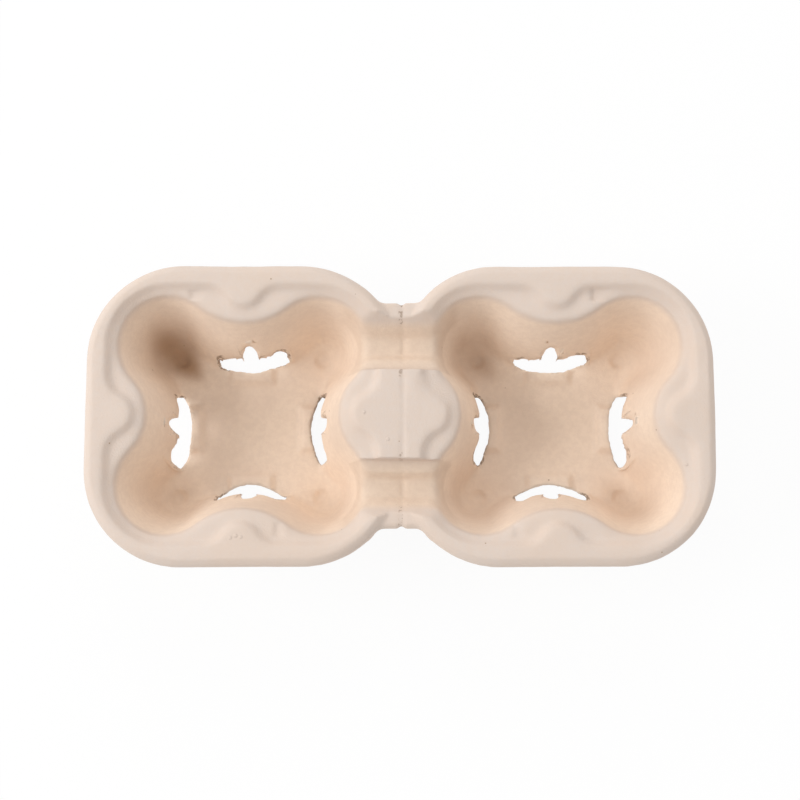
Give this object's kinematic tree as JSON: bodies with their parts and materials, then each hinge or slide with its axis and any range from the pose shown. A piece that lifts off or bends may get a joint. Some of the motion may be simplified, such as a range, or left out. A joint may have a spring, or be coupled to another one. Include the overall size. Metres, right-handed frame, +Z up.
{
  "type": "cup carrier",
  "caption": "Moulded pulp cup carrier: wells side by side with inward flutes, slotted at the foot, joined by a narrow waist with a pad, grooves and a tear line.",
  "frame": {"origin": "under the middle of the waist, on the surface that the carrier stands on", "axes": "+X from one well to the other, +Y across the carrier, +Z up out of the wells"},
  "size_m": [0.22, 0.106, 0.045],
  "materials": {
    "pulp": "matte, slightly fibrous moulded pulp"
  },
  "bodies": {
    "root": {"cup_carrier": "pulp"}
  },
  "joints": []
}
